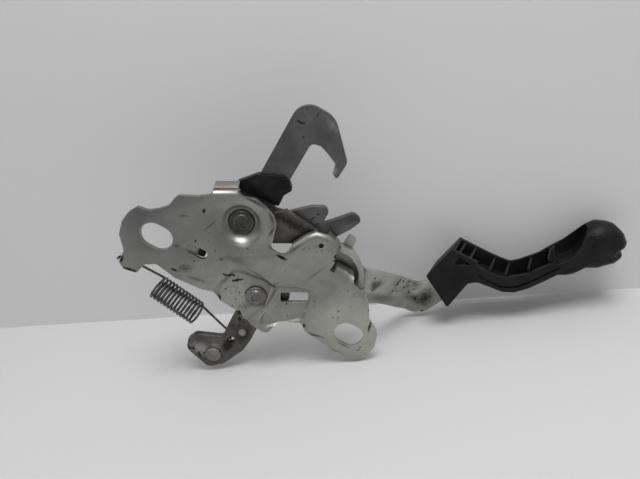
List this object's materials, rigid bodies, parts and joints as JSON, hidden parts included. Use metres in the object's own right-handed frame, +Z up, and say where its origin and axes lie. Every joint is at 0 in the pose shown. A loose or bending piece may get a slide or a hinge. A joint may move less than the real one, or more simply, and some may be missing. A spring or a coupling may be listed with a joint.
{
  "type": "hood latch",
  "caption": "Vehicle hood latch: pressed plate with slots and throat, sprung catch with cable stud, safety hook with sleeve, and a bent hand lever with a ribbed plastic grip",
  "frame": {"origin": "midway between the two mounting slots, on the plate's front face, which bolts against the vehicle's panel", "axes": "+X from the left slot to the right slot, +Y from the mounting face to the mechanism behind it, +Z up the throat, the way the striker leaves"},
  "size_m": [0.2659, 0.048, 0.1938],
  "materials": {
    "zinc_plate": "zinc plated, dirty and chipped along the edges",
    "rivet_steel": "plated steel, worn",
    "dark_steel": "dark worn steel with grease",
    "hook_steel": "phosphated grey steel, scuffed",
    "black_plastic": "black moulded plastic with a worn end",
    "slip_plastic": "natural nylon washer",
    "spring_wire": "drawn spring wire, oiled"
  },
  "bodies": {
    "base": {"base_plate": "zinc_plate", "hook_pivot_rivet": "rivet_steel", "hook_front_bush": "rivet_steel", "hook_slip_washer": "slip_plastic", "hook_rear_bush": "rivet_steel", "hook_rear_washer": "rivet_steel", "catch_pivot_rivet": "rivet_steel", "catch_slip_washer": "slip_plastic", "catch_rear_washer": "rivet_steel", "lever_pivot_stud": "rivet_steel", "lever_slip_washer": "slip_plastic", "lever_rear_washer": "rivet_steel", "catch_spring": "spring_wire"},
    "catch": {"catch_lever": "dark_steel", "cable_stud": "rivet_steel"},
    "hook": {"safety_hook": "hook_steel", "hook_sleeve": "black_plastic", "hook_spring": "spring_wire"},
    "lever": {"hand_lever": "zinc_plate", "lever_grip": "black_plastic", "lever_spring": "spring_wire"}
  },
  "joints": [
    {"name": "catch_swing", "type": "hinge", "parent": "base", "child": "catch", "pos_m": [0.0028, 0.0078, -0.0064], "axis": [0, -1, 0], "range_deg": [0, 13], "stiffness_Nm_per_rad": 1.2, "springref_deg": -8.59, "deforming": ["catch_spring"]},
    {"name": "hook_swing", "type": "hinge", "parent": "base", "child": "hook", "pos_m": [-0.0246, 0.01325, 0.029], "axis": [0, -1, 0], "range_deg": [0, 14.6], "stiffness_Nm_per_rad": 0.6, "springref_deg": -11.46, "deforming": ["hook_spring"]},
    {"name": "lever_swing", "type": "hinge", "parent": "base", "child": "lever", "pos_m": [0.0385, 0.0135, 0.0205], "axis": [0, -1, 0], "range_deg": [0, 14], "stiffness_Nm_per_rad": 1, "springref_deg": -11.46, "deforming": ["lever_spring"]}
  ],
  "couplings": [
    {"joint": "hook_swing", "follows": "lever_swing", "ratio": 1.04}
  ]
}
